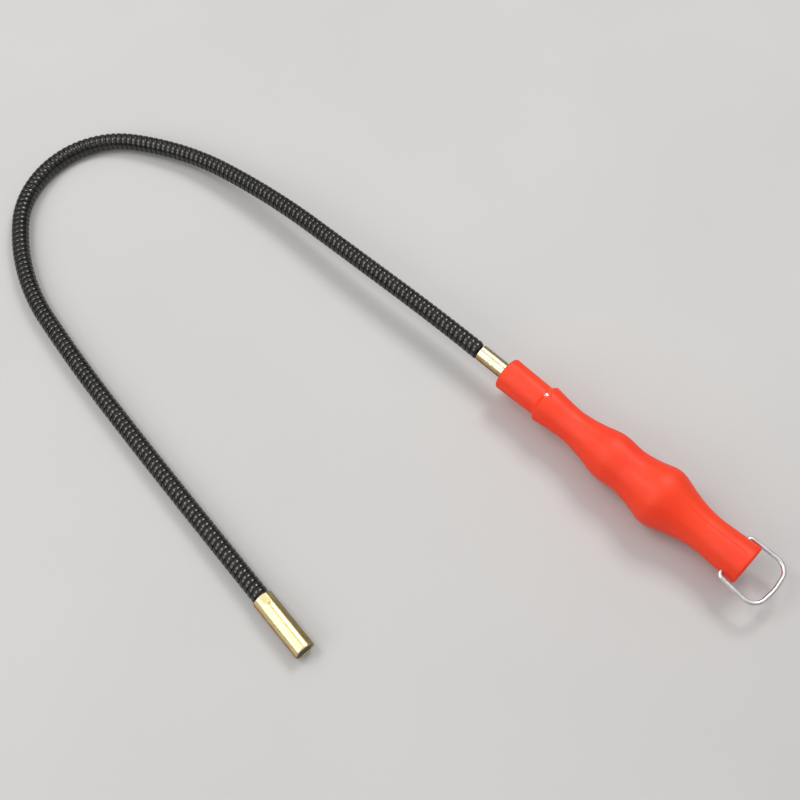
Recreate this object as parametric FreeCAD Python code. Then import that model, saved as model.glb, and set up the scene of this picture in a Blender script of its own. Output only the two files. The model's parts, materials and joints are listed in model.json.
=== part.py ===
"""Magnetic pickup tool: a moulded grip, a bendable gooseneck of two nested coils, and a magnet tip.

Sizes are in millimetres and angles in degrees.  The grip's axis lies along X and the gooseneck
leaves it towards +X.  The table that the tool lies on is the plane z = 0.
"""
import FreeCAD, Part
import math
import os

from FreeCAD import Vector

# Grip: a turned outline, from its front face to its rear end.
COLLAR_LENGTH = 18.0
COLLAR_FRONT_RADIUS = 6.7
COLLAR_REAR_RADIUS = 6.35
STEP_LENGTH = 1.6
STEP_RADIUS = 7.75
WAIST_RADIUS = 6.5
KNUCKLE_RADIUS = 9.7
VALLEY_RADIUS = 9.2
BULGE_RADIUS = 12.05
REAR_WAIST_RADIUS = 7.45
REAR_RADIUS = 8.15
STEP_TO_WAIST = 11.9
WAIST_TO_KNUCKLE = 20.0
KNUCKLE_TO_VALLEY = 7.0
VALLEY_TO_BULGE = 16.0
BULGE_TO_REAR_WAIST = 21.0
REAR_WAIST_TO_REAR = 17.1
EDGE_ROUND = 0.9
# Behind the step: each section's length, the radius that it ends on, and the points that shape it,
# as shares of its length and of its rise or fall.
GRIP_SECTIONS = (
    (STEP_TO_WAIST, WAIST_RADIUS, ((0.37, 0.44),)),
    (WAIST_TO_KNUCKLE, KNUCKLE_RADIUS, ((0.30, 0.125), (0.60, 0.485))),
    (KNUCKLE_TO_VALLEY, VALLEY_RADIUS, ()),
    (VALLEY_TO_BULGE, BULGE_RADIUS, ((0.34, 0.16), (0.66, 0.56))),
    (BULGE_TO_REAR_WAIST, REAR_WAIST_RADIUS, ((0.215, 0.185), (0.43, 0.52), (0.69, 0.825))),
    (REAR_WAIST_TO_REAR, REAR_RADIUS, ((0.38, 0.285),)),
)

# Gooseneck: a round inner coil inside an outer coil, stiff between its bend stations.
NECK_BORE_RADIUS = 1.8
INNER_COIL_WALL = 0.75
OUTER_COIL_WALL = 0.83
COIL_CLEARANCE = 0.12
INNER_COIL_IN_FERRULE = 10.0
NECK_IN_SLEEVE = 8.0
# One row per link, from the grip to the tip: its length, and how far it turns to the left.
LINKS = (
    (40.0, 2.0),
    (50.0, -1.3),
    (50.0, 8.3),
    (45.0, 22.8),
    (35.0, 57.7),
    (35.0, 48.9),
    (50.0, 30.1),
    (50.0, 3.5),
    (50.0, 0.8),
    (49.0, 0.3),
)
# The neck leaves the grip's height after one distance and lies on the table at the other.
DESCENT_START = 35.0
DESCENT_END = 220.0
# It rises again to the sleeve's axis over its last stretch.
TIP_RISE = 90.0

# Bend stations: a dome on one link turns in a cup on the link before it.
DOME_INSET = 0.1
CUP_CLEARANCE = 0.22
CUP_LIP = 1.6

# Ferrule between the grip and the gooseneck.
FERRULE_WALL = 0.58
FERRULE_EXPOSED = 13.0
FERRULE_IN_GRIP = 30.0
PUNCH_MARK_RADIUS = 1.3
PUNCH_MARK_DEPTH = 0.3
PUNCH_MARK_FROM_GRIP = 6.4
PUNCH_MARK_ANGLE = 43.0

# Pin that holds the ferrule in the grip.
PIN_RADIUS = 1.1
PIN_BEHIND_COLLAR = 1.2
PIN_PAST_FERRULE = 1.5
PIN_SINK = 0.25
PIN_DOME = 0.35
PIN_RECESS_RADIUS = 1.9
PIN_RECESS_DEPTH = 0.5

# Tip: a brass sleeve crimped on the neck, and the magnet in its end.
SLEEVE_WALL = 0.5
SLEEVE_LENGTH = 25.0
SLEEVE_CLEARANCE = 0.05
CRIMP_FLATS = 6
CRIMP_LENGTH = 4.2
CRIMP_DEPTH = 0.25
MAGNET_RIM = 0.6
MAGNET_LENGTH = 9.0
MAGNET_RECESS = 0.2
MAGNET_CHAMFER = 0.3

# Wire bail at the grip's rear end, hinged across the grip.
BAIL_WIRE_RADIUS = 0.9
BAIL_PIVOT_FROM_REAR = 5.9
BAIL_LEG_GAP = 0.55
BAIL_FLARE = 0.9
BAIL_LENGTH = 18.1
BAIL_BOW = 1.2
BAIL_END_IN_GRIP = 3.4
BAIL_HOLE_CLEARANCE = 0.06
BAIL_HOLE_SPARE = 1.2
BAIL_ELBOW_RADIUS = 1.7
BAIL_CORNER_RADIUS = 5.5
BAIL_BOW_RADIUS = 20.0
BAIL_DROOP = 6.0

# What follows from the sizes above.
STEP_END = COLLAR_LENGTH + STEP_LENGTH
GRIP_LENGTH = STEP_END + sum(length for length, _, _ in GRIP_SECTIONS) + EDGE_ROUND
AXIS_HEIGHT = BULGE_RADIUS
INNER_COIL_RADIUS = NECK_BORE_RADIUS + INNER_COIL_WALL
OUTER_COIL_BORE = INNER_COIL_RADIUS + COIL_CLEARANCE
NECK_RADIUS = OUTER_COIL_BORE + OUTER_COIL_WALL
NECK_START_X = GRIP_LENGTH + FERRULE_EXPOSED
DOME_RADIUS = NECK_RADIUS - DOME_INSET
CUP_RADIUS = DOME_RADIUS + CUP_CLEARANCE
FERRULE_RADIUS = OUTER_COIL_BORE + FERRULE_WALL
PIN_FROM_FRONT = COLLAR_LENGTH + PIN_BEHIND_COLLAR
SLEEVE_RADIUS = NECK_RADIUS + SLEEVE_CLEARANCE + SLEEVE_WALL
MAGNET_RADIUS = SLEEVE_RADIUS - MAGNET_RIM - SLEEVE_CLEARANCE
BAIL_PIVOT_HALF_WIDTH = max(REAR_RADIUS, REAR_WAIST_RADIUS) + BAIL_LEG_GAP + BAIL_WIRE_RADIUS
BAIL_HALF_WIDTH = BAIL_PIVOT_HALF_WIDTH + BAIL_FLARE
BAIL_END_FROM_AXIS = BAIL_PIVOT_HALF_WIDTH - BAIL_WIRE_RADIUS - BAIL_END_IN_GRIP
PIVOT = Vector(BAIL_PIVOT_FROM_REAR, 0, AXIS_HEIGHT)

# Three points that bend by less than this count as straight.
LEAST_BEND = 1e-6

X_AXIS = Vector(1, 0, 0)
Y_AXIS = Vector(0, 1, 0)
Z_AXIS = Vector(0, 0, 1)


# ---------------------------------------------------------------- the neck's centre line

def smooth_step(value):
    """0 before 0, 1 after 1, with level ends."""
    q = min(max(value, 0.0), 1.0)
    return q * q * (3 - 2 * q)


def station(number):
    """Distance along the neck, from the ferrule's mouth, where link `number` ends."""
    return sum(length for length, _ in LINKS[:number])


NECK_LENGTH = station(len(LINKS))


def height_at(distance):
    fall = (AXIS_HEIGHT - NECK_RADIUS) * smooth_step(
        (distance - DESCENT_START) / (DESCENT_END - DESCENT_START))
    rise = (SLEEVE_RADIUS - NECK_RADIUS) * smooth_step((distance - NECK_LENGTH + TIP_RISE) / TIP_RISE)
    return AXIS_HEIGHT - fall + rise


def plan_at(distance):
    """The neck's x, y and heading in degrees at a distance from the ferrule's mouth."""
    x, y, heading, left = NECK_START_X, 0.0, 0.0, distance
    for length, turn in LINKS:
        run = min(left, length)
        part_turn = turn * run / length
        if run > 0:
            # The chord of an arc is shorter than the arc, and points along its middle heading.
            half = math.radians(part_turn) / 2
            chord = run * (math.sin(half) / half if half else 1.0)
            x += chord * math.cos(math.radians(heading) + half)
            y += chord * math.sin(math.radians(heading) + half)
        heading += part_turn
        left -= run
        if left <= 0:
            break
    # Beyond either end the line runs straight on.
    if distance < 0:
        x += distance
    elif left > 0:
        x += left * math.cos(math.radians(heading))
        y += left * math.sin(math.radians(heading))
    return x, y, heading


def point_at(distance):
    x, y, _ = plan_at(distance)
    return Vector(x, y, height_at(distance))


def heading_at(distance):
    heading = math.radians(plan_at(distance)[2])
    return Vector(math.cos(heading), math.sin(heading), 0)


# ---------------------------------------------------------------- general shapes

def disc(centre, normal, radius):
    return Part.Face(Part.Wire(Part.makeCircle(radius, centre, normal)))


def rod(start, direction, length, radius):
    return Part.makeCylinder(radius, length, start, direction)


def tube(start, direction, length, outer_radius, inner_radius):
    return rod(start, direction, length, outer_radius).cut(rod(start, direction, length, inner_radius))


def link_arc(first, last):
    """The circle that the centre line follows between two distances, and its axis.

    Both are None where the line is straight.
    """
    a, middle, b = point_at(first), point_at((first + last) / 2), point_at(last)
    if (middle - (a + b) * 0.5).Length < LEAST_BEND:
        return None, None
    circle = Part.Arc(a, middle, b).toShape().Curve
    return circle, (a - circle.Center).cross(middle - circle.Center).normalize()


def end_directions(first, last):
    """The directions of a link's centre line at its two ends."""
    a, b = point_at(first), point_at(last)
    circle, axis = link_arc(first, last)
    if circle is None:
        along = (b - a).normalize()
        return along, along
    return axis.cross(a - circle.Center).normalize(), axis.cross(b - circle.Center).normalize()


def rod_along(first, last, radius):
    """A round rod that follows the neck's centre line from one distance to another."""
    a, b = point_at(first), point_at(last)
    circle, axis = link_arc(first, last)
    if circle is None:
        return rod(a, b - a, (b - a).Length, radius)
    spoke_a, spoke_b = a - circle.Center, b - circle.Center
    angle = math.degrees(spoke_a.getAngle(spoke_b))
    return disc(a, axis.cross(spoke_a), radius).revolve(circle.Center, axis, angle)


def rounded_path(points, radii):
    """A wire through points, with each inner corner rounded to its radius."""
    edges, start = [], points[0]
    for before, corner, after, radius in zip(points, points[1:], points[2:], radii):
        into = (corner - before).normalize()
        out = (after - corner).normalize()
        half_turn = into.getAngle(out) / 2
        reach = radius * math.tan(half_turn)
        a, b = corner - into * reach, corner + out * reach
        inward = (out - into).normalize()
        middle = corner + inward * (radius / math.cos(half_turn) - radius)
        edges.append(Part.LineSegment(start, a).toShape())
        edges.append(Part.Arc(a, middle, b).toShape())
        start = b
    edges.append(Part.LineSegment(start, points[-1]).toShape())
    return Part.Wire(edges)


# ---------------------------------------------------------------- the grip and what is in it

def grip_outline():
    """The turned outline behind the step, as points of distance from the front and radius."""
    points = [(STEP_END, STEP_RADIUS)]
    for length, end_radius, shaping in GRIP_SECTIONS:
        start, start_radius = points[-1]
        for share, rise in (*shaping, (1.0, 1.0)):
            points.append((start + length * share, start_radius + (end_radius - start_radius) * rise))
    return points


def grip_point(from_front, radius):
    return Vector(GRIP_LENGTH - from_front, 0, AXIS_HEIGHT + radius)


def rim(face, inwards, radius):
    """A quarter-round edge.  It runs outwards from the end face, at `face` from the front."""
    e = EDGE_ROUND
    diagonal = e * (1 - math.sqrt(0.5))
    return Part.Arc(grip_point(face, radius - e),
                    grip_point(face + inwards * diagonal, radius - diagonal),
                    grip_point(face + inwards * e, radius)).toShape()


def line(first, last):
    return Part.LineSegment(grip_point(*first), grip_point(*last)).toShape()


def grip_blank():
    """The solid of revolution, with rounded front and rear rims."""
    outline = grip_outline()
    curve = Part.BSplineCurve()
    curve.interpolate([grip_point(*p) for p in outline])
    edges = [
        line((0, 0), (0, COLLAR_FRONT_RADIUS - EDGE_ROUND)),
        rim(0, 1, COLLAR_FRONT_RADIUS),
        line((EDGE_ROUND, COLLAR_FRONT_RADIUS), (COLLAR_LENGTH, COLLAR_REAR_RADIUS)),
        line((COLLAR_LENGTH, COLLAR_REAR_RADIUS), outline[0]),
        curve.toShape(),
        rim(GRIP_LENGTH, -1, REAR_RADIUS),
        line((GRIP_LENGTH, REAR_RADIUS - EDGE_ROUND), (GRIP_LENGTH, 0)),
        line((GRIP_LENGTH, 0), (0, 0)),
    ]
    return Part.Face(Part.Wire(edges)).revolve(grip_point(0, 0), X_AXIS, 360)


def grip_top_at(from_front, blank):
    """Height of the top of the grip."""
    probe = line((from_front, 0), (from_front, 2 * BULGE_RADIUS))
    return probe.common(blank).BoundBox.ZMax


def pin_bottom():
    return AXIS_HEIGHT - FERRULE_RADIUS - PIN_PAST_FERRULE


def pin_hole(top):
    base = grip_point(PIN_FROM_FRONT, 0)
    base.z = pin_bottom()
    return rod(base, Z_AXIS, top - base.z, PIN_RADIUS)


def make_handle(blank, pin_top):
    ferrule_hole = rod(grip_point(FERRULE_IN_GRIP, 0), X_AXIS, 2 * FERRULE_IN_GRIP, FERRULE_RADIUS)
    recess_floor = grip_point(PIN_FROM_FRONT, 0)
    recess_floor.z = pin_top - PIN_RECESS_DEPTH
    recess = rod(recess_floor, Z_AXIS, BULGE_RADIUS, PIN_RECESS_RADIUS)
    handle = blank.cut(ferrule_hole).cut(pin_hole(pin_top)).cut(recess)
    for side in (-1, 1):
        start = PIVOT + Y_AXIS * side * BAIL_PIVOT_HALF_WIDTH
        depth = BAIL_PIVOT_HALF_WIDTH - BAIL_END_FROM_AXIS + BAIL_HOLE_SPARE
        handle = handle.cut(rod(start, Y_AXIS * -side, depth, BAIL_WIRE_RADIUS + BAIL_HOLE_CLEARANCE))
    return handle


def make_ferrule(pin_top):
    length = FERRULE_IN_GRIP + FERRULE_EXPOSED
    ferrule = tube(grip_point(FERRULE_IN_GRIP, 0), X_AXIS, length, FERRULE_RADIUS, OUTER_COIL_BORE)
    # The punch leaves a round hollow: a ball sunk into the tube, to the left of its top.
    r, depth = PUNCH_MARK_RADIUS, PUNCH_MARK_DEPTH
    ball_radius = (r * r + depth * depth) / (2 * depth)
    centre = grip_point(-PUNCH_MARK_FROM_GRIP, FERRULE_RADIUS - depth + ball_radius)
    ball = Part.makeSphere(ball_radius, centre)
    ball.rotate(grip_point(0, 0), X_AXIS, -PUNCH_MARK_ANGLE)
    return ferrule.cut(pin_hole(pin_top)).cut(ball)


def make_retaining_pin(pin_top):
    shank_top = pin_top - PIN_SINK - PIN_DOME
    shank = pin_hole(shank_top)
    centre = grip_point(PIN_FROM_FRONT, 0)
    ball_radius = (PIN_RADIUS ** 2 + PIN_DOME ** 2) / (2 * PIN_DOME)
    centre.z = shank_top + PIN_DOME - ball_radius
    ball = Part.makeSphere(ball_radius, centre)
    above = pin_hole(pin_top).cut(shank)
    return shank.fuse(ball.common(above)).removeSplitter()


# ---------------------------------------------------------------- the gooseneck's links

def dome(distance, direction, outer_radius, inner_radius):
    """The ring of a half ball behind a link's first face that belongs to one coil."""
    centre = point_at(distance)
    behind = tube(centre - direction * NECK_RADIUS, direction, NECK_RADIUS, outer_radius, inner_radius)
    return behind.common(Part.makeSphere(DOME_RADIUS, centre, direction))


def make_coil(number, outer_radius, inner_radius, first, last):
    """One link of one coil.  first and last are where the whole coil starts and ends on the neck."""
    begin, end = station(number - 1), station(number)
    has_dome, has_cup = number > 1, number < len(LINKS)
    stop = end - CUP_LIP if has_cup else end
    body = rod_along(begin, stop, outer_radius).cut(rod_along(begin, stop, inner_radius))
    into, out = end_directions(begin, stop)
    if has_dome:
        body = body.fuse(dome(begin, into, outer_radius, inner_radius))
    elif first < begin:
        run = begin - first
        body = body.fuse(tube(point_at(begin) - into * run, into, run, outer_radius, inner_radius))
    if has_cup:
        body = body.cut(Part.makeSphere(CUP_RADIUS, point_at(end), out))
    else:
        body = body.fuse(tube(point_at(end), out, last - end, outer_radius, inner_radius))
    return body.removeSplitter()


def make_inner_coil(number):
    return make_coil(number, INNER_COIL_RADIUS, NECK_BORE_RADIUS,
                     -INNER_COIL_IN_FERRULE, NECK_LENGTH + NECK_IN_SLEEVE)


def make_outer_coil(number):
    return make_coil(number, NECK_RADIUS, OUTER_COIL_BORE, 0, NECK_LENGTH + NECK_IN_SLEEVE)


# ---------------------------------------------------------------- the tip

def tip_direction():
    begin, end = station(len(LINKS) - 1), station(len(LINKS))
    return end_directions(begin, end)[1]


def make_tip_sleeve():
    along = tip_direction()
    mouth = point_at(NECK_LENGTH)
    end = mouth + along * SLEEVE_LENGTH
    sleeve = rod(mouth, along, SLEEVE_LENGTH, SLEEVE_RADIUS)
    sleeve = sleeve.cut(rod(mouth, along, NECK_IN_SLEEVE + SLEEVE_CLEARANCE, NECK_RADIUS + SLEEVE_CLEARANCE))
    socket = MAGNET_LENGTH + MAGNET_RECESS + SLEEVE_CLEARANCE
    sleeve = sleeve.cut(rod(end - along * socket, along, socket, MAGNET_RADIUS + SLEEVE_CLEARANCE))
    return sleeve.cut(crimp_waste(mouth, along))


def crimp_waste(mouth, along):
    """What the crimping jaws take off the sleeve: a round blank outside a ring of flats."""
    across = SLEEVE_RADIUS - CRIMP_DEPTH
    side = along.cross(Z_AXIS).normalize()
    up = side.cross(along)
    corners = []
    for k in range(CRIMP_FLATS + 1):
        angle = math.radians((k + 0.5) * 360 / CRIMP_FLATS)
        reach = across / math.cos(math.pi / CRIMP_FLATS)
        corners.append(mouth + (up * math.cos(angle) + side * math.sin(angle)) * reach)
    prism = Part.Face(Part.makePolygon(corners)).extrude(along * CRIMP_LENGTH)
    return rod(mouth, along, CRIMP_LENGTH, 2 * SLEEVE_RADIUS).cut(prism)


def make_magnet():
    along = tip_direction()
    start = point_at(NECK_LENGTH) + along * (SLEEVE_LENGTH - MAGNET_RECESS - MAGNET_LENGTH)
    straight = rod(start, along, MAGNET_LENGTH - MAGNET_CHAMFER, MAGNET_RADIUS)
    nose = Part.makeCone(MAGNET_RADIUS, MAGNET_RADIUS - MAGNET_CHAMFER, MAGNET_CHAMFER,
                         start + along * (MAGNET_LENGTH - MAGNET_CHAMFER), along)
    return straight.fuse(nose).removeSplitter()


# ---------------------------------------------------------------- the bail

def make_bail():
    end_x = BAIL_LENGTH - BAIL_BOW

    def at(back, sideways):
        return PIVOT + Vector(-back, sideways, 0)

    points = [
        at(0, BAIL_END_FROM_AXIS),
        at(0, BAIL_PIVOT_HALF_WIDTH),
        at(end_x, BAIL_HALF_WIDTH),
        at(BAIL_LENGTH, 0),
        at(end_x, -BAIL_HALF_WIDTH),
        at(0, -BAIL_PIVOT_HALF_WIDTH),
        at(0, -BAIL_END_FROM_AXIS),
    ]
    radii = (BAIL_ELBOW_RADIUS, BAIL_CORNER_RADIUS, BAIL_BOW_RADIUS, BAIL_CORNER_RADIUS, BAIL_ELBOW_RADIUS)
    path = rounded_path(points, radii)
    section = Part.Wire(Part.makeCircle(BAIL_WIRE_RADIUS, points[0], Y_AXIS))
    bail = path.makePipeShell([section], True, False)
    bail.rotate(PIVOT, Y_AXIS, -BAIL_DROOP)
    return bail


# ---------------------------------------------------------------- the whole tool

def make_parts():
    blank = grip_blank()
    pin_top = grip_top_at(PIN_FROM_FRONT, blank)
    parts = {
        "handle": make_handle(blank, pin_top),
        "front_ferrule": make_ferrule(pin_top),
        "retaining_pin": make_retaining_pin(pin_top),
        "tip_sleeve": make_tip_sleeve(),
        "magnet": make_magnet(),
        "bail": make_bail(),
    }
    for number in range(1, len(LINKS) + 1):
        parts[f"inner_coil_{number}"] = make_inner_coil(number)
        parts[f"outer_coil_{number}"] = make_outer_coil(number)
    return parts


def base_centre(parts):
    """The middle of the tool's box, on the table.  The grip is round, so its own box is known."""
    box = FreeCAD.BoundBox(0, -BULGE_RADIUS, 0, GRIP_LENGTH, BULGE_RADIUS, 2 * BULGE_RADIUS)
    for name, shape in parts.items():
        if name != "handle":
            box.add(shape.optimalBoundingBox(False, False))
    return Vector(box.Center.x, box.Center.y, 0)


def main():
    os.makedirs("parts", exist_ok=True)
    parts = make_parts()
    origin = base_centre(parts)
    for name, shape in parts.items():
        shape.translate(-origin)
        shape.exportStep(f"parts/{name}.step")
        print(f"{name:16s} solids {len(shape.Solids)} valid {shape.isValid()} volume {shape.Volume:9.2f}")
    print("origin", origin)
    return origin


ORIGIN = main()
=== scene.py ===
"""Looks of the magnetic pickup tool: grip, ferrule, wound gooseneck, crimped tip, magnet and bail.

Everything is in metres in the row frame.  The grip's axis lies along X and the gooseneck leaves it
towards +X; the table is the plane z = 0.
"""
import json
import math

import bpy
import numpy as np
from mathutils import Matrix, Vector


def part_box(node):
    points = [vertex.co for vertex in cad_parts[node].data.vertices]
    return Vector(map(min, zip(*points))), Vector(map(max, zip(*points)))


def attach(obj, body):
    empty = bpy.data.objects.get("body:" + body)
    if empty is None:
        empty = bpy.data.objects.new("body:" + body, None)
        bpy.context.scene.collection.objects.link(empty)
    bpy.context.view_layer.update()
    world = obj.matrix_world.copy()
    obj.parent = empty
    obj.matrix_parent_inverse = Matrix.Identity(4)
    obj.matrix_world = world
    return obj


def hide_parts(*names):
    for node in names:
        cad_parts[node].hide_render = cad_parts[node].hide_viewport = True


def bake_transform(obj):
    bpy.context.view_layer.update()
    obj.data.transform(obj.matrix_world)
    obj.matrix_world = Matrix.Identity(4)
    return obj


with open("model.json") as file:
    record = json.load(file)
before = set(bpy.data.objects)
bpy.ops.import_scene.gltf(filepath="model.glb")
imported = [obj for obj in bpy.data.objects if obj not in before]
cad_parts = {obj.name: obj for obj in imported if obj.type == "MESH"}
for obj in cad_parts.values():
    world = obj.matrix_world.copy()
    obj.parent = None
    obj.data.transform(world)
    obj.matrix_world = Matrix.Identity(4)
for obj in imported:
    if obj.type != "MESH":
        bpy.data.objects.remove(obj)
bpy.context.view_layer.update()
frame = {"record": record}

MM = 0.001

# ---------------------------------------------------------------- camera and light
CAMERA_DISTANCE = 0.469
CAMERA_HEADING = -46.65
CAMERA_TILT = 63.0
# What the camera looks at on the table, from the grip's rear end and its axis.
CAMERA_AIM = (0.1393, 0.0321)
LENS = 54.0
SENSOR = 36.0

# ---------------------------------------------------------------- sizes, as in the CAD model
COLLAR_LENGTH = 18.0 * MM
COLLAR_FRONT_RADIUS = 6.7 * MM
COLLAR_REAR_RADIUS = 6.35 * MM
STEP_LENGTH = 1.6 * MM
EDGE_ROUND = 0.9 * MM
GRIP_OUTLINE = (
    (19.6, 7.75), (24.0, 7.2), (31.5, 6.5), (37.5, 6.9), (43.5, 8.05), (51.5, 9.7), (58.5, 9.2),
    (64.0, 9.65), (69.0, 10.8), (74.5, 12.05), (79.0, 11.2), (83.5, 9.65), (89.0, 8.25),
    (95.5, 7.45), (102.0, 7.65), (112.6, 8.15),
)
SEAM_HALF_WIDTH = 0.3 * MM
SEAM_GROOVE_OFFSET = 0.5 * MM
SEAM_RISE_START = 70.0 * MM
SEAM_RISE_LENGTH = 20.0 * MM
GRIP_END_FADE = 4.0 * MM
FERRULE_RADIUS = 3.25 * MM
FERRULE_WALL = 0.62 * MM
PUNCH_FROM_GRIP = 6.4 * MM
PUNCH_ANGLE = 43.0
PUNCH_RADIUS = 1.3 * MM
PIN_FROM_FRONT = 19.2 * MM
PIN_RADIUS = 1.1 * MM
PIN_RECESS_RADIUS = 1.9 * MM
PIN_RECESS_DEPTH = 0.5 * MM
PIN_RECESS_TOP = 7.6 * MM
NECK_RADIUS = 3.5 * MM
NECK_IN_SLEEVE = 8.0 * MM
INNER_COIL_IN_FERRULE = 10.0 * MM
COIL_PITCH = 2.33 * MM
LINKS = (
    (40.0, 2.0), (50.0, -1.3), (50.0, 8.3), (45.0, 22.8), (35.0, 57.7),
    (35.0, 48.9), (50.0, 30.1), (50.0, 3.5), (50.0, 0.8), (49.0, 0.3),
)
DESCENT_START = 35.0 * MM
DESCENT_END = 220.0 * MM
TIP_RISE = 90.0 * MM
SLEEVE_RADIUS = 4.05 * MM
SLEEVE_LENGTH = 25.0 * MM
CRIMP_FLATS = 6
CRIMP_LENGTH = 4.2 * MM
CRIMP_DEPTH = 0.25 * MM
SLEEVE_SEAM_ANGLE = math.radians(8)
MAGNET_RADIUS = 3.4 * MM
MAGNET_LENGTH = 9.0 * MM
MAGNET_CHAMFER = 0.3 * MM
MAGNET_RECESS = 0.2 * MM
BAIL_WIRE_RADIUS = 0.9 * MM
BAIL_PIVOT_FROM_REAR = 5.9 * MM
BAIL_PIVOT_HALF_WIDTH = 9.6 * MM
BAIL_HALF_WIDTH = 10.5 * MM
BAIL_LENGTH = 18.1 * MM
BAIL_BOW = 1.2 * MM
BAIL_END_IN_GRIP = 3.4 * MM
BAIL_ELBOW_RADIUS = 1.7 * MM
BAIL_CORNER_RADIUS = 5.5 * MM
BAIL_BOW_RADIUS = 20.0 * MM
BAIL_DROOP = 6.0

GRIP_LOW, GRIP_HIGH = (Vector(c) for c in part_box("handle"))
GRIP_REAR_X = GRIP_LOW.x
GRIP_FRONT_X = GRIP_HIGH.x
GRIP_LENGTH = GRIP_FRONT_X - GRIP_REAR_X
AXIS_Y = (GRIP_LOW.y + GRIP_HIGH.y) / 2
AXIS_Z = (GRIP_LOW.z + GRIP_HIGH.z) / 2
GRIP_LARGEST_RADIUS = AXIS_Z - GRIP_LOW.z
FERRULE_FRONT_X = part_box("front_ferrule")[1][0]
FERRULE_REAR_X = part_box("front_ferrule")[0][0]
MAGNET_MOUNT = next(m for m in frame["record"]["mounts"] if m["name"] == "magnet_face")

NOISE_ROUGHNESS = 0.55
RIM_STEPS = 7

X_AXIS = np.array([1.0, 0.0, 0.0])
Y_AXIS = np.array([0.0, 1.0, 0.0])
Z_AXIS = np.array([0.0, 0.0, 1.0])


# ---------------------------------------------------------------- meshes from rings

def ring_mesh(name, rings):
    """A smooth tube through rings of points: an array of shape (rings, points around, 3)."""
    count, around, _ = rings.shape
    faces = []
    for i in range(count - 1):
        a, b = i * around, (i + 1) * around
        for j in range(around):
            k = (j + 1) % around
            faces.append((a + j, a + k, b + k, b + j))
    faces.append(tuple(range(around - 1, -1, -1)))
    faces.append(tuple((count - 1) * around + j for j in range(around)))
    mesh = bpy.data.meshes.new(name)
    mesh.from_pydata(rings.reshape(-1, 3).tolist(), [], faces)
    mesh.validate()
    mesh.polygons.foreach_set("use_smooth", [len(p.vertices) == 4 for p in mesh.polygons])
    mesh.update()
    obj = bpy.data.objects.new(name, mesh)
    bpy.context.scene.collection.objects.link(obj)
    return obj


def turned(name, outline, origin, along, up, around, shape=None):
    """A turned piece.  outline holds (distance, radius); shape may change the radius by place."""
    side = np.cross(along, up)
    angles = np.linspace(0, 2 * math.pi, around, endpoint=False)
    spokes = np.outer(np.cos(angles), up) + np.outer(np.sin(angles), side)
    rings = []
    for distance, radius in outline:
        radii = np.full(around, radius)
        if shape:
            radii = shape(distance, radius, angles)
        rings.append(origin + along * distance + spokes * radii[:, None])
    return ring_mesh(name, np.array(rings))


def smooth_step(q):
    q = np.clip(q, 0.0, 1.0)
    return q * q * (3 - 2 * q)


def bump(distance, width):
    """1 at distance 0, falling smoothly to 0 at width."""
    return 1 - smooth_step(np.abs(distance) / width)


# ---------------------------------------------------------------- the neck's centre line

STATIONS = np.concatenate([[0.0], np.cumsum([length for length, _ in LINKS])]) * MM
NECK_LENGTH = STATIONS[-1]


def neck_plan(distance):
    """x, y and heading of the neck's centre line, at a distance from the ferrule's mouth."""
    x, y, heading, left = FERRULE_FRONT_X, AXIS_Y, 0.0, distance
    for length_mm, turn in LINKS:
        run = min(left, length_mm * MM)
        part_turn = math.radians(turn) * run / (length_mm * MM)
        if run > 0:
            half = part_turn / 2
            chord = run * (math.sin(half) / half if half else 1.0)
            x += chord * math.cos(heading + half)
            y += chord * math.sin(heading + half)
        heading += part_turn
        left -= run
        if left <= 0:
            break
    beyond = distance if distance < 0 else max(left, 0.0)
    return x + beyond * math.cos(heading), y + beyond * math.sin(heading), heading


def neck_height(distance):
    descent = smooth_step((distance - DESCENT_START) / (DESCENT_END - DESCENT_START))
    tip_rise = smooth_step((distance - NECK_LENGTH + TIP_RISE) / TIP_RISE)
    return AXIS_Z - (AXIS_Z - NECK_RADIUS) * descent + (SLEEVE_RADIUS - NECK_RADIUS) * tip_rise


def neck_point(distance):
    x, y, _ = neck_plan(distance)
    return np.array([x, y, neck_height(distance)])


def neck_frames(distances):
    """Points, directions, up and left of the centre line at many distances."""
    spacing = 0.25 * MM
    table = np.arange(distances.min() - 1 * MM, distances.max() + 1 * MM, spacing)
    line = np.array([neck_point(d) for d in table])

    def points_at(places):
        return np.column_stack([np.interp(places, table, line[:, i]) for i in range(3)])

    points = points_at(distances)
    along = points_at(distances + spacing) - points_at(distances - spacing)
    along /= np.linalg.norm(along, axis=1)[:, None]
    up = Z_AXIS - along * along[:, 2:3]
    up /= np.linalg.norm(up, axis=1)[:, None]
    return points, along, up, np.cross(along, up)


# ---------------------------------------------------------------- materials

def material(name, colour, roughness, metallic=0.0):
    """A Principled material and its nodes, to be given texture by the caller."""
    mat = bpy.data.materials.new(name)
    mat.use_nodes = True
    nodes, links = mat.node_tree.nodes, mat.node_tree.links
    shader = nodes["Principled BSDF"]
    shader.inputs["Base Color"].default_value = (*colour, 1)
    shader.inputs["Roughness"].default_value = roughness
    shader.inputs["Metallic"].default_value = metallic
    return mat, nodes, links, shader


def noise(nodes, links, scale, detail, stretch=(1, 1, 1)):
    """Noise over the piece's own coordinates, in metres; stretch squeezes it along an axis."""
    place = nodes.new("ShaderNodeTexCoord")
    mapping = nodes.new("ShaderNodeMapping")
    mapping.inputs["Scale"].default_value = stretch
    texture = nodes.new("ShaderNodeTexNoise")
    texture.inputs["Scale"].default_value = scale
    texture.inputs["Detail"].default_value = detail
    texture.inputs["Roughness"].default_value = NOISE_ROUGHNESS
    links.new(place.outputs["Object"], mapping.inputs["Vector"])
    links.new(mapping.outputs["Vector"], texture.inputs["Vector"])
    return texture.outputs["Fac"]


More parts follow.
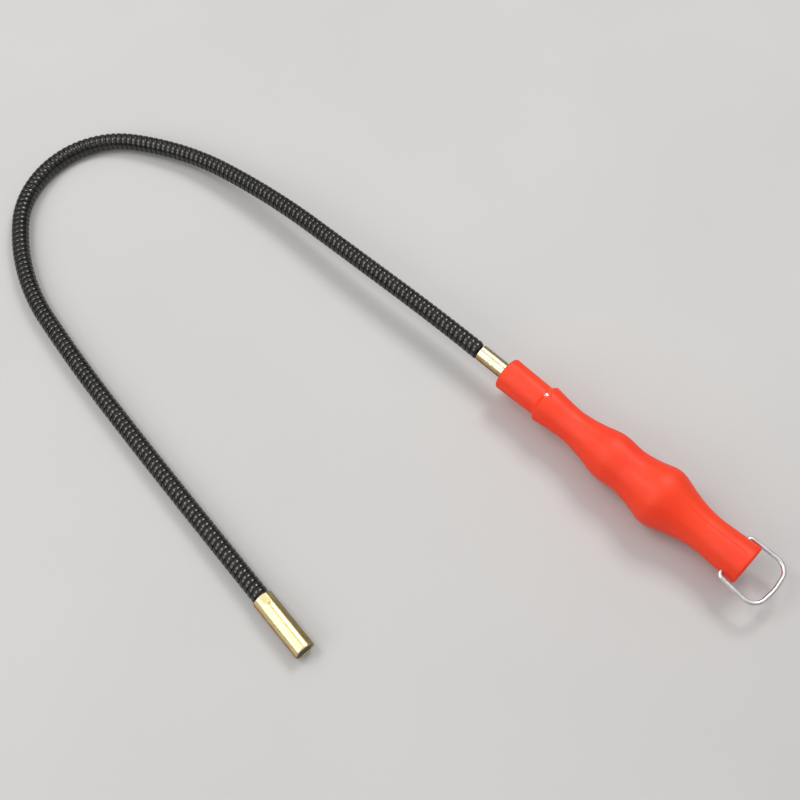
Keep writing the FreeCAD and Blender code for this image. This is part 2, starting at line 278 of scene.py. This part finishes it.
def ramp(nodes, links, value, stops):
    """A colour ramp; stops hold (place, colour)."""
    node = nodes.new("ShaderNodeValToRGB")
    elements = node.color_ramp.elements
    while len(elements) < len(stops):
        elements.new(0.5)
    for element, (place, colour) in zip(elements, stops):
        element.position = place
        element.color = (*colour, 1)
    links.new(value, node.inputs["Fac"])
    return node.outputs["Color"]


def value_range(nodes, links, value, low, high):
    node = nodes.new("ShaderNodeMapRange")
    node.inputs["From Min"].default_value = 0.3
    node.inputs["From Max"].default_value = 0.7
    node.inputs["To Min"].default_value = low
    node.inputs["To Max"].default_value = high
    links.new(value, node.inputs["Value"])
    return node.outputs["Result"]


def add_bump(nodes, links, shader, height, distance, strength):
    node = nodes.new("ShaderNodeBump")
    node.inputs["Distance"].default_value = distance
    node.inputs["Strength"].default_value = strength
    links.new(height, node.inputs["Height"])
    links.new(node.outputs["Normal"], shader.inputs["Normal"])


def red_plastic():
    mat, nodes, links, shader = material("red_plastic", (0.95, 0.042, 0.003), 0.5)
    shader.inputs["Subsurface Weight"].default_value = 0.10
    shader.inputs["Subsurface Radius"].default_value = (0.004, 0.0008, 0.0003)
    cloud = noise(nodes, links, 55, 3)
    tint = ramp(nodes, links, cloud, ((0.3, (0.93, 0.034, 0.002)), (0.7, (0.99, 0.050, 0.004))))
    links.new(tint, shader.inputs["Base Color"])
    wear = noise(nodes, links, 500, 6, (0.25, 1, 1))
    links.new(value_range(nodes, links, wear, 0.44, 0.60), shader.inputs["Roughness"])
    add_bump(nodes, links, shader, noise(nodes, links, 110, 5), 0.0004, 0.5)
    return mat


def brass(name, axis, across, radius, brass_colour):
    """Drawn brass in its own colour along the middle, with painted reflection and shade on the sides as
    the camera sees them: browner to one side of its axis and duller to the other.
    """
    mat, nodes, links, shader = material(name, brass_colour, 0.24, 1.0)
    place = nodes.new("ShaderNodeTexCoord")
    offset = nodes.new("ShaderNodeVectorMath")
    offset.operation = "SUBTRACT"
    offset.inputs[1].default_value = axis
    side = nodes.new("ShaderNodeVectorMath")
    side.operation = "DOT_PRODUCT"
    side.inputs[1].default_value = across
    links.new(place.outputs["Object"], offset.inputs[0])
    links.new(offset.outputs["Vector"], side.inputs[0])
    # This noise only wobbles where the painted reflection and shade begin on each side.
    shade_edge_noise = noise(nodes, links, 330, 5)
    spread = nodes.new("ShaderNodeMath")
    spread.operation = "MULTIPLY_ADD"
    spread.inputs[1].default_value = 0.9 * MM
    links.new(shade_edge_noise, spread.inputs[0])
    links.new(side.outputs["Value"], spread.inputs[2])
    reach = nodes.new("ShaderNodeMapRange")
    reach.inputs["From Min"].default_value = 0.45 * MM - radius
    reach.inputs["From Max"].default_value = 0.45 * MM + radius
    links.new(spread.outputs["Value"], reach.inputs["Value"])
    # Painted reflection and shade: orange-brown fading to dark on the picture's left side, olive fading
    # to dark on its right side, and the brass's own colour between.
    tint = ramp(nodes, links, reach.outputs["Result"],
                ((0.0, (0.20, 0.09, 0.02)), (0.10, (0.50, 0.27, 0.08)), (0.22, brass_colour),
                 (0.72, brass_colour), (0.88, (0.55, 0.46, 0.22)), (1.0, (0.22, 0.18, 0.07))))
    links.new(tint, shader.inputs["Base Color"])
    drawn = noise(nodes, links, 700, 1.5)
    links.new(value_range(nodes, links, drawn, 0.27, 0.36), shader.inputs["Roughness"])
    add_bump(nodes, links, shader, drawn, 0.00002, 0.06)
    return mat


def black_coil():
    mat, nodes, links, shader = material("black_coil", (0.010, 0.010, 0.011), 0.25)
    grime = noise(nodes, links, 260, 6)
    tint = ramp(nodes, links, grime, ((0.35, (0.006, 0.006, 0.007)), (0.72, (0.022, 0.021, 0.020))))
    links.new(tint, shader.inputs["Base Color"])
    shader.inputs["Specular IOR Level"].default_value = 0.6
    gloss = value_range(nodes, links, noise(nodes, links, 700, 5), 0.10, 0.26)
    links.new(gloss, shader.inputs["Roughness"])
    add_bump(nodes, links, shader, noise(nodes, links, 2400, 4), 0.00002, 0.5)
    return mat


def inner_steel():
    mat, nodes, links, shader = material("inner_steel", (0.02, 0.02, 0.021), 0.35, 0.7)
    grime = noise(nodes, links, 500, 5)
    tint = ramp(nodes, links, grime, ((0.35, (0.010, 0.010, 0.010)), (0.7, (0.040, 0.038, 0.036))))
    links.new(tint, shader.inputs["Base Color"])
    links.new(value_range(nodes, links, grime, 0.28, 0.5), shader.inputs["Roughness"])
    return mat


def zinc_wire():
    mat, nodes, links, shader = material("zinc_wire", (0.90, 0.91, 0.92), 0.3, 1.0)
    patch = noise(nodes, links, 350, 5)
    tint = ramp(nodes, links, patch, ((0.3, (0.68, 0.69, 0.70)), (0.7, (0.86, 0.87, 0.88))))
    links.new(tint, shader.inputs["Base Color"])
    gloss = value_range(nodes, links, noise(nodes, links, 1100, 4), 0.26, 0.42)
    links.new(gloss, shader.inputs["Roughness"])
    add_bump(nodes, links, shader, noise(nodes, links, 1800, 3), 0.00002, 0.4)
    return mat


def magnet_face():
    mat, nodes, links, shader = material("magnet_face", (0.07, 0.07, 0.072), 0.3, 1.0)
    ground = noise(nodes, links, 1300, 5, (1, 1, 0.15))
    tint = ramp(nodes, links, ground, ((0.35, (0.035, 0.034, 0.033)), (0.7, (0.13, 0.125, 0.12))))
    links.new(tint, shader.inputs["Base Color"])
    links.new(value_range(nodes, links, ground, 0.25, 0.5), shader.inputs["Roughness"])
    add_bump(nodes, links, shader, ground, 0.00003, 0.5)
    return mat


def pin_steel():
    mat, nodes, links, shader = material("pin_steel", (0.62, 0.58, 0.55), 0.2, 1.0)
    mark = noise(nodes, links, 1500, 4)
    links.new(value_range(nodes, links, mark, 0.12, 0.32), shader.inputs["Roughness"])
    add_bump(nodes, links, shader, mark, 0.00002, 0.4)
    return mat


def pale_floor():
    mat, nodes, links, shader = material("pale_floor", (0.55, 0.55, 0.55), 0.6)
    cloud = noise(nodes, links, 6, 3)
    tint = ramp(nodes, links, cloud, ((0.3, (0.54, 0.54, 0.55)), (0.7, (0.57, 0.57, 0.575))))
    links.new(tint, shader.inputs["Base Color"])
    return mat


def dress(obj, mat, body, slot, *replaced):
    obj.data.materials.clear()
    obj.data.materials.append(mat)
    if body:
        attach(obj, body)
    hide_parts(*replaced)
    return obj


# ---------------------------------------------------------------- the grip

def cubic_through(points, steps):
    """A natural cubic spline through points, by chord length, as (distance, radius) samples."""
    p = np.array(points)
    t = np.concatenate([[0.0], np.cumsum(np.linalg.norm(np.diff(p, axis=0), axis=1))])
    n, h = len(p), np.diff(t)
    system, right = np.eye(n), np.zeros((n, 2))
    for i in range(1, n - 1):
        system[i, i - 1:i + 2] = h[i - 1], 2 * (h[i - 1] + h[i]), h[i]
        right[i] = 6 * ((p[i + 1] - p[i]) / h[i] - (p[i] - p[i - 1]) / h[i - 1])
    second = np.linalg.solve(system, right)
    out = []
    for u in np.linspace(0, t[-1], steps):
        i = min(np.searchsorted(t, u, side="right") - 1, n - 2)
        a, b = (t[i + 1] - u) / h[i], (u - t[i]) / h[i]
        out.append(a * p[i] + b * p[i + 1]
                   + ((a ** 3 - a) * second[i] + (b ** 3 - b) * second[i + 1]) * h[i] ** 2 / 6)
    return np.array(out)


def rounded_rim(distance, radius, sign):
    """Points of a quarter-round rim: sign is 1 at a front end and -1 at a rear end."""
    angles = np.linspace(0, math.pi / 2, RIM_STEPS)
    back = EDGE_ROUND * (1 - np.sin(angles))
    low = EDGE_ROUND * (1 - np.cos(angles))
    rim = np.column_stack([distance + sign * back, radius - low])
    return rim[::-1] if sign > 0 else rim


def grip_profile():
    """Distance from the front face and radius, all along the outside of the grip."""
    front = rounded_rim(0.0, COLLAR_FRONT_RADIUS, 1)
    collar = np.column_stack([
        np.linspace(EDGE_ROUND, COLLAR_LENGTH, 40)[1:],
        np.linspace(COLLAR_FRONT_RADIUS, COLLAR_REAR_RADIUS, 40)[1:]])
    step_start = np.array([COLLAR_LENGTH, COLLAR_REAR_RADIUS])
    body = cubic_through(GRIP_OUTLINE, 260) * MM
    q = np.linspace(0, 1, 10)[1:-1, None]
    step = step_start + (body[0] - step_start) * q
    rear = rounded_rim(GRIP_LENGTH, GRIP_OUTLINE[-1][1] * MM, -1)
    return np.vstack([front, collar, step, body[:-1], rear])


def grip_shape(distance, radius, angles):
    """Turns the plain outline into the moulding, with its seam and a little sink."""
    radii = np.full(len(angles), radius)
    # Angle 0 is straight up.  The two halves of the mould meet at the top and at the bottom.
    from_top = np.abs((angles + math.pi) % (2 * math.pi) - math.pi)
    to_seam = np.minimum(from_top, math.pi - from_top) * radius
    rearward = smooth_step((distance - SEAM_RISE_START) / SEAM_RISE_LENGTH)
    ridge = bump(to_seam, SEAM_HALF_WIDTH) * (0.05 + 0.10 * rearward)
    groove = bump(to_seam - SEAM_GROOVE_OFFSET, SEAM_HALF_WIDTH) * 0.12 * rearward
    unevenness = 1 + 0.35 * math.sin(distance * 900) + 0.25 * math.sin(distance * 2300 + 1)
    seam = (ridge - groove) * unevenness
    sink = (0.035 * np.sin(angles * 2 + distance * 60)
            + 0.03 * np.sin(angles * 3 - distance * 110 + 0.7))
    fade = smooth_step(distance / GRIP_END_FADE) * smooth_step((GRIP_LENGTH - distance) / GRIP_END_FADE)
    return np.minimum(radii + (seam - np.abs(sink)) * MM * fade, GRIP_LARGEST_RADIUS)


def make_grip():
    origin = np.array([GRIP_FRONT_X, AXIS_Y, AXIS_Z])
    outline = [tuple(p) for p in grip_profile()]
    return turned("grip_moulding", outline, origin, -X_AXIS, Z_AXIS, 256, grip_shape)


def cut_holes(obj, cutters):
    """Cuts closed tools out of a piece, and removes them."""
    for cutter in cutters:
        change = obj.modifiers.new("cut", "BOOLEAN")
        change.operation = "DIFFERENCE"
        change.solver = "EXACT"
        change.object = cutter
    bpy.context.view_layer.update()
    graph = bpy.context.evaluated_depsgraph_get()
    mesh = bpy.data.meshes.new_from_object(obj.evaluated_get(graph))
    obj.modifiers.clear()
    obj.data = mesh
    for cutter in cutters:
        bpy.data.objects.remove(cutter)
    return obj


def plug(start, along, outline, around=48):
    """A turned cutting tool."""
    up = Z_AXIS if abs(along[2]) < 0.9 else Y_AXIS
    return turned("cutter", outline, np.array(start), along, up, around)


def grip_cutters():
    pin_x = GRIP_FRONT_X - PIN_FROM_FRONT
    pin_top = AXIS_Z + PIN_RECESS_TOP
    lip = 0.25 * MM
    recess = plug((pin_x, AXIS_Y, pin_top - PIN_RECESS_DEPTH), Z_AXIS,
                  [(0, PIN_RECESS_RADIUS - lip), (lip, PIN_RECESS_RADIUS),
                   (4 * MM, PIN_RECESS_RADIUS + lip)])
    bore = plug((GRIP_FRONT_X + 1 * MM, AXIS_Y, AXIS_Z), -X_AXIS,
                [(0, FERRULE_RADIUS + 0.6 * MM), (1.0 * MM, FERRULE_RADIUS + 0.35 * MM),
                 (1.4 * MM, FERRULE_RADIUS + 0.02 * MM),
                 (GRIP_FRONT_X - FERRULE_REAR_X, FERRULE_RADIUS)])
    cutters = [recess, bore]
    pivot_x = GRIP_REAR_X + BAIL_PIVOT_FROM_REAR
    for side in (-1, 1):
        start = (pivot_x, AXIS_Y + side * (BAIL_PIVOT_HALF_WIDTH + 1 * MM), AXIS_Z)
        reach = BAIL_END_IN_GRIP + 3 * MM
        radius = BAIL_WIRE_RADIUS + 0.06 * MM
        cutters.append(plug(start, -side * Y_AXIS,
                            [(0, radius + 0.5 * MM), (2.3 * MM, radius + 0.35 * MM),
                             (3.0 * MM, radius), (reach, radius)], 32))
    return cutters


# ---------------------------------------------------------------- brass, pin and magnet

def make_ferrule():
    length = FERRULE_FRONT_X - FERRULE_REAR_X
    wall, edge = FERRULE_WALL, 0.18 * MM
    origin = np.array([FERRULE_FRONT_X, AXIS_Y, AXIS_Z])
    # Angles are counted from the top, and the mark lies on the +Y side of it.
    mark_angle = math.radians(PUNCH_ANGLE)

    def shape(distance, radius, angles):
        from_mark = distance - (length - (GRIP_FRONT_X - FERRULE_REAR_X) - PUNCH_FROM_GRIP)
        across = ((angles - mark_angle + math.pi) % (2 * math.pi) - math.pi) * radius
        away = np.hypot(from_mark, across)
        hollow = 0.10 * bump(away, PUNCH_RADIUS) + 0.05 * bump(away - PUNCH_RADIUS * 0.8, 0.3 * MM)
        ridge = 0.02 * bump(away - PUNCH_RADIUS * 1.1, 0.3 * MM)
        outside = 1.0 if radius > FERRULE_RADIUS - edge * 1.5 else 0.0
        return radius + (ridge - hollow) * MM * outside

    outline = [(edge * 0.3 + 1.2 * MM, FERRULE_RADIUS - wall), (edge, FERRULE_RADIUS - wall),
               (0.0, FERRULE_RADIUS - wall + edge), (0.0, FERRULE_RADIUS - edge),
               (edge * 0.3, FERRULE_RADIUS - edge * 0.3)]
    outline += [(d, FERRULE_RADIUS) for d in np.linspace(edge, 12.8 * MM, 120)]
    outline += [(length, FERRULE_RADIUS)]
    return turned("ferrule_tube", outline, origin, -X_AXIS, Z_AXIS, 128, shape)


def tip_axes():
    along = np.array(MAGNET_MOUNT["axis"])
    face = np.array(MAGNET_MOUNT["pos_m"])
    side = np.cross(along, Z_AXIS)
    side /= np.linalg.norm(side)
    return along, face, np.cross(side, along)


def make_sleeve():
    along, face, up = tip_axes()
    mouth = face - along * (SLEEVE_LENGTH - MAGNET_RECESS)
    edge, wall = 0.22 * MM, SLEEVE_RADIUS - MAGNET_RADIUS - 0.05 * MM
    neck_hole = NECK_RADIUS + 0.05 * MM

    def shape(distance, radius, angles):
        if radius < neck_hole + 0.1 * MM and distance < CRIMP_LENGTH * 2:
            return np.full(len(angles), radius)
        sector = 2 * math.pi / CRIMP_FLATS
        in_flat = (angles + sector / 2) % sector - sector / 2
        flat = (SLEEVE_RADIUS - CRIMP_DEPTH) / np.cos(in_flat)
        flat = np.minimum(flat, SLEEVE_RADIUS)
        grip = 1 - smooth_step((distance - CRIMP_LENGTH + 1.0 * MM) / (2.0 * MM))
        radii = np.minimum(radius, radius * (1 - grip) + np.minimum(radius, flat) * grip)
        # The rolled tube's butt seam is a fine groove along the top, past the crimp.
        across = ((angles - SLEEVE_SEAM_ANGLE + math.pi) % (2 * math.pi) - math.pi) * radius
        past_crimp = smooth_step((distance - CRIMP_LENGTH) / (1.5 * MM))
        groove = 0.09 * MM * bump(across, 0.16 * MM) * past_crimp
        return radii - groove * (radius > SLEEVE_RADIUS * 0.97)

    seat_end = SLEEVE_LENGTH - MAGNET_LENGTH - MAGNET_RECESS - 0.05 * MM
    outline = [(NECK_IN_SLEEVE, neck_hole * 0.5), (NECK_IN_SLEEVE, neck_hole), (edge, neck_hole),
               (0.0, neck_hole + edge * 0.6), (0.0, SLEEVE_RADIUS - edge),
               (edge * 0.3, SLEEVE_RADIUS - edge * 0.3)]
    crimped = np.linspace(edge, CRIMP_LENGTH + 1.5 * MM, 60)
    plain = np.linspace(CRIMP_LENGTH + 1.6 * MM, SLEEVE_LENGTH - edge, 50)
    outline += [(d, SLEEVE_RADIUS) for d in [*crimped, *plain]]
    outline += [(SLEEVE_LENGTH - edge * 0.3, SLEEVE_RADIUS - edge * 0.3),
                (SLEEVE_LENGTH, SLEEVE_RADIUS - edge),
                (SLEEVE_LENGTH, SLEEVE_RADIUS - wall + edge * 0.5),
                (SLEEVE_LENGTH - edge * 0.5, SLEEVE_RADIUS - wall),
                (seat_end, SLEEVE_RADIUS - wall)]
    return turned("crimped_sleeve", outline, mouth, along, up, 240, shape)


def make_magnet():
    along, face, up = tip_axes()
    start = face - along * MAGNET_LENGTH
    r, c = MAGNET_RADIUS, MAGNET_CHAMFER
    outline = [(0, r * 0.5), (0, r - c), (c, r), (MAGNET_LENGTH - c, r),
               (MAGNET_LENGTH - c * 0.3, r - c * 0.3), (MAGNET_LENGTH, r - c), (MAGNET_LENGTH, r * 0.5)]
    return turned("magnet_slug", outline, start, along, up, 96)


def make_pin():
    low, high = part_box("retaining_pin")
    base = np.array([(low[0] + high[0]) / 2, AXIS_Y, low[2]])
    top = high[2] - low[2]
    dome, flat = 0.35 * MM, 0.12 * MM
    outline = [(0, PIN_RADIUS - flat), (flat, PIN_RADIUS), (top - dome, PIN_RADIUS)]
    for angle in np.linspace(0.15, 0.95, 8) * math.pi / 2:
        outline.append((top - dome + dome * math.sin(angle), PIN_RADIUS * math.cos(angle)))
    return turned("pin_head", outline, base, Z_AXIS, X_AXIS, 48)


# ---------------------------------------------------------------- the bail

def rounded_path(points, radii, steps):
    """Points along straight runs joined by tangent arcs."""
    path = [points[0]]
    for before, corner, after, radius in zip(points, points[1:], points[2:], radii):
        into = (corner - before) / np.linalg.norm(corner - before)
        out = (after - corner) / np.linalg.norm(after - corner)
        half = math.acos(np.clip(into @ out, -1, 1)) / 2
        reach = radius * math.tan(half)
        inward = (out - into) / np.linalg.norm(out - into)
        centre = corner + inward * radius / math.cos(half)
        a, b = corner - into * reach - centre, corner + out * reach - centre
        for q in np.linspace(0, 1, steps):
            share_a = math.sin((1 - q) * 2 * half) / math.sin(2 * half)
            share_b = math.sin(q * 2 * half) / math.sin(2 * half)
            path.append(centre + a * share_a + b * share_b)
    path.append(points[-1])
    return np.array(path)


def resampled(path, spacing):
    lengths = np.concatenate([[0.0], np.cumsum(np.linalg.norm(np.diff(path, axis=0), axis=1))])
    places = np.linspace(0, lengths[-1], int(lengths[-1] / spacing))
    return np.column_stack([np.interp(places, lengths, path[:, i]) for i in range(3)])


def make_bail():
    hole_end = BAIL_PIVOT_HALF_WIDTH - BAIL_WIRE_RADIUS - BAIL_END_IN_GRIP
    end = BAIL_LENGTH - BAIL_BOW
    flat = [(0, hole_end), (0, BAIL_PIVOT_HALF_WIDTH), (-end, BAIL_HALF_WIDTH), (-BAIL_LENGTH, 0),
            (-end, -BAIL_HALF_WIDTH), (0, -BAIL_PIVOT_HALF_WIDTH), (0, -hole_end)]
    points = [np.array([x, y, 0.0]) for x, y in flat]
    radii = (BAIL_ELBOW_RADIUS, BAIL_CORNER_RADIUS, BAIL_BOW_RADIUS,
             BAIL_CORNER_RADIUS, BAIL_ELBOW_RADIUS)
    path = resampled(rounded_path(points, radii, 24), 0.35 * MM)
    along = np.gradient(path, axis=0)
    along /= np.linalg.norm(along, axis=1)[:, None]
    side = np.cross(along, Z_AXIS)
    around = np.linspace(0, 2 * math.pi, 28, endpoint=False)
    droop = np.array(Matrix.Rotation(math.radians(-BAIL_DROOP), 3, "Y"))
    pivot = np.array([GRIP_REAR_X + BAIL_PIVOT_FROM_REAR, AXIS_Y, AXIS_Z])
    rings = []
    for i, (p, s) in enumerate(zip(path, side)):
        radius = BAIL_WIRE_RADIUS
        if i in (0, len(path) - 1):
            radius *= 0.75
        ring = p + radius * (np.outer(np.cos(around), Z_AXIS) + np.outer(np.sin(around), s))
        rings.append(ring @ droop.T + pivot)
    return ring_mesh("bail_wire", np.array(rings))


# ---------------------------------------------------------------- the gooseneck's wires

# Cross-sections as (distance along the neck, radius) in millimetres: the outer wire is three-sided
# with a rounded back, and the inner wire is round.
OUTER_WIRE = (
    (0.0, 3.50), (0.38, 3.485), (0.70, 3.43), (0.92, 3.33), (0.98, 3.20), (0.84, 2.98),
    (0.38, 2.64), (0.0, 2.50), (-0.38, 2.64), (-0.84, 2.98), (-0.98, 3.20), (-0.92, 3.33),
    (-0.70, 3.43), (-0.38, 3.485),
)
INNER_WIRE_RADIUS = 0.62
INNER_WIRE_CENTRE = 2.54
STEPS_PER_TURN = 36


def inner_wire_section():
    angles = np.linspace(0, 2 * math.pi, 10, endpoint=False)
    return np.column_stack([INNER_WIRE_RADIUS * np.sin(angles),
                            INNER_WIRE_CENTRE + INNER_WIRE_RADIUS * np.cos(angles)])


def wound_wire(name, section, first, last, shift):
    """A right-handed helix of wire round the neck's centre line, from one distance to another."""
    steps = max(int(round((last - first) / COIL_PITCH * STEPS_PER_TURN)), 4)
    distances = np.linspace(first, last, steps + 1)
    angles = 2 * math.pi * (distances - shift) / COIL_PITCH
    points, along, up, left = neck_frames(distances)
    spokes = up * np.cos(angles)[:, None] + left * np.sin(angles)[:, None]
    section = np.array(section) * MM
    rings = (points[:, None] + along[:, None] * section[None, :, :1]
             + spokes[:, None] * section[None, :, 1:])
    return ring_mesh(name, rings)


def neck_bodies():
    return ["grip"] + [f"neck_{k}" for k in range(2, len(LINKS))] + ["tip"]


def make_wires(kind, section, first, last, shift, mat, slot):
    """The wire in lengths that run from the middle of one link to the middle of the next."""
    bodies = neck_bodies()
    middles = (STATIONS[:-1] + STATIONS[1:]) / 2
    cuts = np.concatenate([[first], middles, [last]])
    for k in range(len(cuts) - 1):
        wire = wound_wire(f"{kind}_wire_{k}", section, cuts[k], cuts[k + 1], shift)
        node = f"{kind}_coil_{min(k + 1, len(LINKS))}"
        if k in (0, len(LINKS)):
            dress(wire, mat, bodies[0] if k == 0 else bodies[-1], slot, node)
        else:
            dress(wire, mat, None, slot, node)
            neck_point(cuts[k])
            neck_point(cuts[k + 1])
            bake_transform(wire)


# ---------------------------------------------------------------- putting it together

def build_tool():
    plastic = red_plastic()
    grip = cut_holes(make_grip(), grip_cutters())
    dress(grip, plastic, "grip", "red_plastic", "handle")
    axis = (FERRULE_FRONT_X, AXIS_Y, AXIS_Z)
    # The ferrule and the sleeve get painted reflection and shade on the sides that lie across the
    # camera's view.
    metal = brass("ferrule_brass", axis, across_view(X_AXIS), FERRULE_RADIUS, (0.74, 0.67, 0.45))
    dress(make_ferrule(), metal, "grip", "brass", "front_ferrule")
    dress(make_pin(), pin_steel(), "grip", "pin_steel", "retaining_pin")
    along, face, _ = tip_axes()
    metal = brass("sleeve_brass", tuple(face), across_view(along), SLEEVE_RADIUS, (0.80, 0.69, 0.38))
    dress(make_sleeve(), metal, "tip", "brass", "tip_sleeve")
    dress(make_magnet(), magnet_face(), "tip", "magnet", "magnet")
    dress(make_bail(), zinc_wire(), "hanging_bail", "bail_wire", "bail")
    wires_end = NECK_LENGTH + NECK_IN_SLEEVE - 1 * MM
    make_wires("outer", OUTER_WIRE, 0.75 * MM, wires_end, 0.0, black_coil(), "black_coil")
    make_wires("inner", inner_wire_section(), -INNER_COIL_IN_FERRULE + 1 * MM, wires_end,
               COIL_PITCH / 2, inner_steel(), "coil_steel")


def make_floor():
    mesh = bpy.data.meshes.new("floor")
    half = 3.0
    corners = [(-half, -half, 0), (half, -half, 0), (half, half, 0), (-half, half, 0)]
    mesh.from_pydata(corners, [], [(0, 1, 2, 3)])
    floor = bpy.data.objects.new("floor", mesh)
    bpy.context.scene.collection.objects.link(floor)
    floor.data.materials.append(pale_floor())


def picture_axes():
    """The floor's directions that are right and up in the picture."""
    heading = math.radians(CAMERA_HEADING)
    ahead = Vector((math.cos(heading), math.sin(heading), 0))
    return Vector((math.sin(heading), -math.cos(heading), 0)), ahead


def camera_look():
    _, ahead = picture_axes()
    tilt = math.radians(CAMERA_TILT)
    return ahead * math.cos(tilt) - Vector((0, 0, math.sin(tilt)))


def across_view(along):
    """The direction across a piece as the camera sees it, towards the picture's right."""
    right, _ = picture_axes()
    across = Vector(along).cross(camera_look()).normalized()
    return across if across.dot(right) > 0 else -across


def make_camera():
    look = camera_look()
    data = bpy.data.cameras.new("camera")
    data.lens, data.sensor_width = LENS, SENSOR
    data.clip_start, data.clip_end = 0.01, 20
    camera = bpy.data.objects.new("camera", data)
    aim = Vector((GRIP_REAR_X + CAMERA_AIM[0], AXIS_Y + CAMERA_AIM[1], 0))
    camera.location = aim - look * CAMERA_DISTANCE
    camera.rotation_euler = look.to_track_quat("-Z", "Y").to_euler()
    bpy.context.scene.collection.objects.link(camera)
    bpy.context.scene.camera = camera


def area_light(name, right, away, up, size, power):
    """A square light at a place given from the middle of the tool, aimed at it."""
    picture_right, picture_away = picture_axes()
    middle = Vector((0.02, 0.0, 0.01))
    data = bpy.data.lights.new(name, "AREA")
    data.shape, data.size, data.energy = "SQUARE", size, power
    data.color = (1.0, 0.975, 0.94)
    light = bpy.data.objects.new(name, data)
    light.location = middle + picture_right * right + picture_away * away + Vector((0, 0, up))
    light.rotation_euler = (middle - light.location).to_track_quat("-Z", "Y").to_euler()
    bpy.context.scene.collection.objects.link(light)


def make_world():
    world = bpy.data.worlds.new("studio")
    world.use_nodes = True
    bpy.context.scene.world = world
    bpy.context.scene.view_settings.view_transform = "Standard"
    nodes, links = world.node_tree.nodes, world.node_tree.links
    place = nodes.new("ShaderNodeTexCoord")
    split = nodes.new("ShaderNodeSeparateXYZ")
    links.new(place.outputs["Generated"], split.inputs["Vector"])
    sky = ramp(nodes, links, split.outputs["Z"],
               ((0.0, (0.07, 0.07, 0.07)), (0.30, (0.20, 0.20, 0.20)),
                (0.55, (0.80, 0.79, 0.77)), (1.0, (1.0, 0.985, 0.96))))
    links.new(sky, nodes["Background"].inputs["Color"])
    nodes["Background"].inputs["Strength"].default_value = 0.72


make_camera()
make_floor()
make_world()
area_light("key", 0.45, 0.62, 1.0, 0.40, 5.5)
area_light("soft", -0.50, 0.10, 0.90, 0.45, 3.0)
area_light("fill", -0.80, -0.50, 0.60, 0.6, 3.0)
build_tool()
